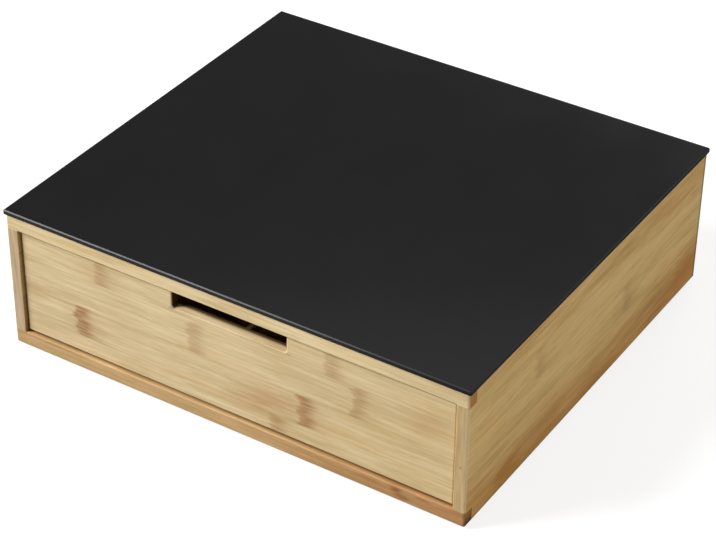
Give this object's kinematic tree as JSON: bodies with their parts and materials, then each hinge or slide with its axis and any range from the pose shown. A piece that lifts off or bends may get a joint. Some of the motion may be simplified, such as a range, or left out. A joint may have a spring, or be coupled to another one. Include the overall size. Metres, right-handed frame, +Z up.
{
  "type": "tea bag drawer box",
  "caption": "Low bamboo tabletop box with a black glass top and one full-width drawer, opened by a finger notch, whose half-lapped dividers sort tea bags into compartments.",
  "frame": {"origin": "on the table, under the middle of the case", "axes": "+Z up, the drawer opens towards -Y, +X to the right when facing the drawer front"},
  "size_m": [0.312, 0.286, 0.0958],
  "materials": {
    "bamboo": "clear satin lacquer",
    "thin_panel": "thin bamboo ply, clear lacquer",
    "black_glass": "polished, painted black underneath",
    "clear_adhesive": "clear soft pad",
    "foot_rubber": "matte"
  },
  "bodies": {
    "case": {"bottom_panel": "thin_panel", "case_back": "bamboo", "case_side_left": "bamboo", "case_side_right": "bamboo", "foot_front_left": "foot_rubber", "foot_front_right": "foot_rubber", "foot_rear_left": "foot_rubber", "foot_rear_right": "foot_rubber", "front_rail_bottom": "bamboo", "front_rail_top": "bamboo", "glass_bond_front_left": "clear_adhesive", "glass_bond_front_right": "clear_adhesive", "glass_bond_rear_left": "clear_adhesive", "glass_bond_rear_right": "clear_adhesive", "glass_top": "black_glass", "runner_left": "bamboo", "runner_right": "bamboo", "top_panel": "thin_panel"},
    "drawer": {"cross_divider_1": "bamboo", "cross_divider_2": "bamboo", "drawer_back": "bamboo", "drawer_bottom": "thin_panel", "drawer_front": "bamboo", "drawer_side_left": "bamboo", "drawer_side_right": "bamboo", "lengthwise_divider_1": "bamboo", "lengthwise_divider_2": "bamboo", "lengthwise_divider_3": "bamboo"}
  },
  "joints": [
    {"name": "drawer_slide", "type": "slide", "parent": "case", "child": "drawer", "axis": [0, -1, 0], "range_m": [0, 0.235]}
  ]
}
